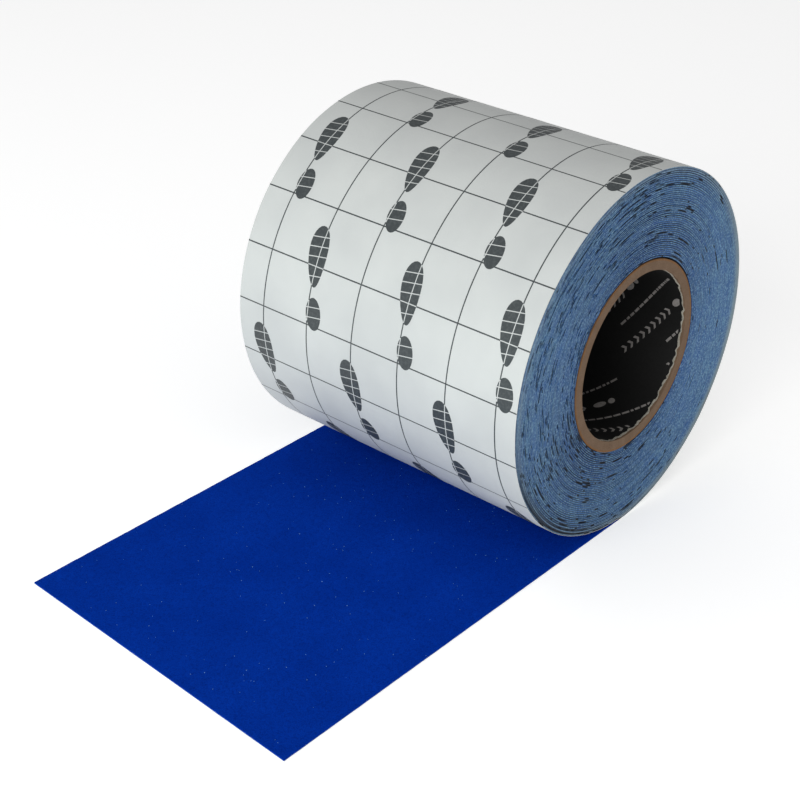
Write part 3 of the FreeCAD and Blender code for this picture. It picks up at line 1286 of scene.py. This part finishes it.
@dataclass
class Tail:
    """The unrolled tape: its four layers, the grains on it and the print under it."""

    printed: PrintedLiner
    cell: float = 2.6 * MM
    contact: float = 0.3 * MM
    peel_left: float = 16 * MM
    coat_unevenness: float = 0.10 * MM
    edge_wander: float = 0.12 * MM
    grains_from: float = -9 * MM
    grains_sunk: float = 0.09 * MM
    grains_per_area: float = 0.11e6
    bare_glint_grains_per_area: float = 0.0062e6

    def __post_init__(self) -> None:
        """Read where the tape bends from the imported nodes."""
        self.laid_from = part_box("laid_grit")[1].x
        self.lift_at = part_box("laid_grit")[0].x
        self.peel_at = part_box("bend_grit")[0].x
        low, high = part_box("end_liner")[0].x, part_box("flap_grit")[1].x
        self.skew = self.end_skew()
        self.end = low + self.skew
        self.peel_done = high - self.peel_left

    def end_skew(self) -> float:
        """How far each corner of the cut end is off square, from the liner's own corners.

        Returns:
            The distance along the tape, positive where the far corner is nearer the roll.
        """
        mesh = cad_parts["end_liner"].data
        corners = {}
        for vertex in mesh.vertices:
            side = vertex.co.y > 0
            corners[side] = min(corners.get(side, 0), vertex.co.x)
        return (corners[True] - corners[False]) / 2

    def far_edge(self, across: float) -> float:
        """Where the cut end is, at a distance across the tape."""
        return self.end + self.skew * across / WINDING.half_width

    def stretches(self, layer: Layer) -> list[tuple[Stretch, tuple[str, ...]]]:
        """List the pieces of one layer, each with the nodes that it stands for.

        Args:
            layer: Which layer.

        Returns:
            A stretch of tape and its nodes' names, for each piece.
        """
        name = layer.value
        run = Stretch(f"tail_{name}_run", 0.0, self.lift_at, ("laid_tape", "liftoff"),
                      (self.lift_at + 2 * MM, self.laid_from))
        if layer is Layer.LINER:
            end = Stretch("tail_liner_end", self.lift_at, self.end, ("laid_tape", "tape_end"),
                          (self.lift_at, self.peel_at), skewed=True)
            return [(run, ("laid_liner", "liftoff_liner")), (end, ("end_liner",))]
        bend = Stretch(f"tail_{name}_bend", self.lift_at, self.peel_at, ("laid_tape", "tape_end"),
                       (self.lift_at, self.peel_at))
        flap = Stretch(f"tail_{name}_flap", self.peel_at, self.end, ("tape_end", "end_flap"),
                       (self.peel_at, self.peel_done), skewed=True)
        return [(run, (f"laid_{name}", f"liftoff_{name}")), (bend, (f"bend_{name}",)),
                (flap, (f"flap_{name}",))]

    def attach(self, piece: bpy.types.Object, stretch: Stretch) -> None:
        """Bake a piece's placement into its mesh; the bend between its stretch's two bodies is worked out but
        not applied.
        """
        ends = [Vector((x, 0, WINDING.floor)) for x in stretch.bend]
        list(stretch.bodies)
        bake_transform(piece)

    def build(self) -> list[bpy.types.Object]:
        """Build every layer, then the grains and the print.

        Returns:
            All the pieces of the unrolled tape.
        """
        made = []
        finishes = {Layer.LINER: LINER, Layer.ADHESIVE: ADHESIVE, Layer.FILM: FILM, Layer.GRIT: GRIT}
        for layer, finish in finishes.items():
            for stretch, nodes in self.stretches(layer):
                piece = self.slab(stretch, layer)
                dress(piece, finish)
                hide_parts(*nodes)
                self.attach(piece, stretch)
                made.append(piece)
        for stretch, _ in self.stretches(Layer.GRIT):
            made += self.grains(stretch)
        for stretch, _ in self.stretches(Layer.LINER):
            far = self.far_edge if stretch.skewed else None
            low = stretch.far - 2 * self.skew if stretch.skewed else stretch.far
            ink = self.printed.print_on(stretch.name.replace("liner", "print"), low, stretch.near, far)
            self.attach(ink, stretch)
            made.append(ink)
        return made

    def grid(self, stretch: Stretch) -> tuple[np.ndarray, np.ndarray]:
        """Lay out a stretch's grid, whose last row follows the cut end where the stretch has one.

        Args:
            stretch: The stretch of tape.

        Returns:
            Each point's place along the tape, and its place across it.
        """
        along = np.linspace(0, 1, max(2, round((stretch.near - stretch.far) / self.cell) + 1))
        across = np.linspace(-1, 1, round(2 * WINDING.half_width / self.cell) + 1)
        share, side = np.meshgrid(along, across, indexing="ij")
        y = side * WINDING.half_width
        far = self.end + self.skew * side if stretch.skewed else np.full_like(side, stretch.far)
        return stretch.near + (far - stretch.near) * share, y

    def slab(self, stretch: Stretch, layer: Layer) -> bpy.types.Object:
        """Build one layer of a stretch as a thin closed sheet with a slightly uneven cut edge.

        Args:
            stretch: The stretch of tape.
            layer: Which layer, which sets its height.

        Returns:
            The sheet, lying flat.
        """
        x, y = self.grid(stretch)
        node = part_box(f"laid_{layer.value}")
        rng = np.random.default_rng(len(stretch.name))
        top = np.full_like(x, node[1].z)
        if layer is Layer.GRIT:
            top = top - self.coat_unevenness * rng.random(x.shape)
            clear = -WINDING.floor - WINDING.pitch * 0.75 + self.contact
            top = np.minimum(top, -np.sqrt(np.maximum(clear**2 - x**2, 0)))
        y = y.copy()
        for side, outwards in ((0, -1), (-1, 1)):
            y[:, side] += outwards * self.edge_wander * (rng.random(len(y)) - 0.6)
        low = np.column_stack([x.ravel(), y.ravel(), np.full(x.size, node[0].z)])
        high = np.column_stack([x.ravel(), y.ravel(), top.ravel()])
        rows, columns = x.shape
        faces = [face[::-1] for face in sheet_faces(rows, columns)] + sheet_faces(rows, columns, x.size)
        rim = list(range(columns))
        rim += [r * columns + columns - 1 for r in range(1, rows)]
        rim += [(rows - 1) * columns + c for c in range(columns - 2, -1, -1)]
        rim += [r * columns for r in range(rows - 2, 0, -1)]
        for here, after in zip(rim, rim[1:] + rim[:1]):
            faces.append((here, after, after + x.size, here + x.size))
        piece = mesh_object(stretch.name, np.concatenate([low, high]), faces)
        face_outwards(piece)
        piece.data.set_sharp_from_angle(angle=math.radians(40))
        return piece

    def grains(self, stretch: Stretch) -> list[bpy.types.Object]:
        """Scatter whole grains on the coat, most under resin and a few bare, whose pale colour is a painted
        glint.

        Args:
            stretch: The stretch of tape.

        Returns:
            The grains under resin, then the bare ones.
        """
        made = []
        kinds = (("grains", self.grains_per_area, 0.26 * MM, GRAIN),
                 # The bare grains' pale colour is a painted glint.
                 ("bare_grains", self.bare_glint_grains_per_area, 0.2 * MM, BARE_GRAIN_GLINT))
        for seed, (kind, density, radius, finish) in enumerate(kinds):
            x, y = self.grid(stretch)
            coat_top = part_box("laid_grit")[1].z - self.grains_sunk
            keep = x[:, 0] < self.grains_from
            x, y = x[keep], y[keep]
            points = np.column_stack([x.ravel(), y.ravel() * 0.995, np.full(x.size, coat_top)])
            bed = mesh_object(stretch.name.replace("grit", kind), points, sheet_faces(*x.shape))
            tree, sockets = grain_tree()
            values = {"Density": density, "Radius": radius, "Seed": seed + 3, "Stuff": finish.material()}
            piece = grown(bed, tree, {sockets[name]: value for name, value in values.items()})
            self.attach(piece, stretch)
            made.append(piece)
        return made


def grain_tree() -> tuple[bpy.types.NodeTree, dict[str, str]]:
    """Build the tree that scatters small angular grains over a surface.

    Returns:
        The tree, and the identifier of each named input.
    """
    tree = bpy.data.node_groups.new("scatter_grains", "GeometryNodeTree")
    face = tree.interface
    face.new_socket("Surface", in_out="INPUT", socket_type="NodeSocketGeometry")
    kinds = {"Density": "NodeSocketFloat", "Radius": "NodeSocketFloat", "Seed": "NodeSocketInt",
             "Stuff": "NodeSocketMaterial"}
    sockets = {name: face.new_socket(name, in_out="INPUT", socket_type=kind).identifier
               for name, kind in kinds.items()}
    face.new_socket("Grains", in_out="OUTPUT", socket_type="NodeSocketGeometry")
    given = add_node(tree, "NodeGroupInput")
    spread = add_node(tree, "GeometryNodeDistributePointsOnFaces",
                      {"Mesh": given.outputs["Surface"], "Density": given.outputs["Density"],
                       "Seed": given.outputs["Seed"]})
    grain = add_node(tree, "GeometryNodeMeshIcoSphere",
                     {"Radius": given.outputs["Radius"], "Subdivisions": 1})
    turn = add_node(tree, "FunctionNodeRandomValue", {0: (0, 0, 0), 1: (6.28, 6.28, 6.28), "Seed": 7},
                    data_type="FLOAT_VECTOR")
    grow = add_node(tree, "FunctionNodeRandomValue", {0: (0.45, 0.45, 0.3), 1: (1.2, 1.2, 0.75), "Seed": 8},
                    data_type="FLOAT_VECTOR")
    placed = add_node(tree, "GeometryNodeInstanceOnPoints",
                      {"Points": spread.outputs["Points"], "Instance": grain.outputs["Mesh"],
                       "Rotation": turn.outputs["Value"], "Scale": grow.outputs["Value"]})
    real = add_node(tree, "GeometryNodeRealizeInstances", {"Geometry": placed.outputs["Instances"]})
    stuff = add_node(tree, "GeometryNodeSetMaterial",
                     {"Geometry": real.outputs["Geometry"], "Material": given.outputs["Stuff"]})
    add_node(tree, "NodeGroupOutput", {"Grains": stuff.outputs["Geometry"]})
    return tree, sockets


# ------------------------------------------------------------------ studio
@dataclass
class Studio:
    """The pale floor, the soft lights and the camera."""

    azimuth: float = math.radians(-49.895)
    elevation: float = math.radians(29.535)
    roll: float = math.radians(1.461)
    distance: float = 740.0 * MM
    target: Vector = field(default_factory=lambda: Vector((-46.58, 13.68, -36.51)) * MM)
    lens: float = 74.95
    wall_light: float = 0.42
    wall_seen: float = 0.78
    floor_reach: float = 40.0
    softboxes: tuple[tuple, ...] = (("key_softbox", (-1.5, -0.3, 0.55), 1.2, 17.0),
                                    ("top_softbox", (-0.3, 0.2, 1.6), 1.6, 3.0),
                                    ("front_softbox", (0.5, -1.6, 0.6), 1.2, 1.5),
                                    ("cool_fill", (-0.5, 0.0, -0.05), 0.3, 0.16, "#6FE8E4"))

    def build(self) -> None:
        """Set up everything that isn't the object."""
        self.camera()
        self.floor()
        for softbox in self.softboxes:
            self.light(*softbox)
        self.walls()
        bpy.context.scene.view_settings.view_transform = "Standard"

    def walls(self) -> None:
        """Surround the roll with dim white walls, seen as pale as the table's far end."""
        world = bpy.data.worlds.new("studio_white")
        world.use_nodes = True
        tree = world.node_tree
        dim = tree.nodes["Background"]
        dim.inputs["Color"].default_value = linear("#FFFFFF")
        dim.inputs["Strength"].default_value = self.wall_light
        seen = add_node(tree, "ShaderNodeBackground",
                        {"Color": linear("#FFFFFF"), "Strength": self.wall_seen})
        direct = add_node(tree, "ShaderNodeLightPath").outputs["Is Camera Ray"]
        both = add_node(tree, "ShaderNodeMixShader",
                        {0: direct, 1: dim.outputs["Background"], 2: seen.outputs["Background"]})
        tree.links.new(both.outputs["Shader"], tree.nodes["World Output"].inputs["Surface"])
        bpy.context.scene.world = world

    def camera(self) -> None:
        """Aim the camera at the roll from its front left, above."""
        level, lift = math.cos(self.elevation), math.sin(self.elevation)
        back = Vector((math.sin(self.azimuth) * level, -math.cos(self.azimuth) * level, lift))
        right = (-back).cross(Vector((0, 0, 1))).normalized()
        up = right.cross(-back)
        c, s = math.cos(self.roll), math.sin(self.roll)
        across, upright = c * right + s * up, c * up - s * right
        data = bpy.data.cameras.new("camera")
        data.lens, data.sensor_width = self.lens, 36.0
        data.clip_start, data.clip_end = 0.01, 20.0
        camera = bpy.data.objects.new("camera", data)
        bpy.context.scene.collection.objects.link(camera)
        turn = Matrix((across, upright, back)).transposed().to_4x4()
        camera.matrix_world = Matrix.Translation(self.target + back * self.distance) @ turn
        bpy.context.scene.camera = camera

    def floor(self) -> None:
        """Lay a wide pale floor just under the liner."""
        level = WINDING.floor - 0.06 * MM
        sides = ((-1, -1), (1, -1), (1, 1), (-1, 1))
        corners = [(self.floor_reach * x, self.floor_reach * y, level) for x, y in sides]
        sweep = mesh_object("studio_floor", corners, [(0, 1, 2, 3)])
        dress(sweep, FLOOR)

    def light(self, name: str, place: tuple[float, float, float], size: float, power: float,
              colour: str = "#FFFFFF") -> None:
        """Hang a square soft light that faces the roll and doesn't show itself.

        Args:
            name: What it is called.
            place: Where it hangs, in metres.
            size: The length of its side.
            power: How strong it is, in watts.
            colour: Its colour as a hex code.
        """
        data = bpy.data.lights.new(name, "AREA")
        data.size, data.energy, data.color = size, power, linear(colour)[:3]
        lamp = bpy.data.objects.new(name, data)
        bpy.context.scene.collection.objects.link(lamp)
        lamp.location = place
        lamp.rotation_euler = (-Vector(place)).to_track_quat("-Z", "Y").to_euler()
        lamp.visible_camera = False


def main() -> None:
    """Build every sub-assembly in order and say what was made."""
    logging.basicConfig(level=logging.INFO, format="%(message)s")
    Studio().build()
    printed = PrintedLiner()
    roll_print = printed.print_on("roll_print", 0.0, 2 * math.pi * WINDING.outer_radius - WINDING.pitch * 3)
    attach(roll_print, "roll")
    made = [printed.turn(), roll_print]
    made += WoundTape().build()
    made += PaperCore().build()
    made += Tail(printed).build()
    for piece in made:
        log.info("%s: %d faces", piece.name, len(piece.data.polygons))


if __name__ == "__main__":
    main()
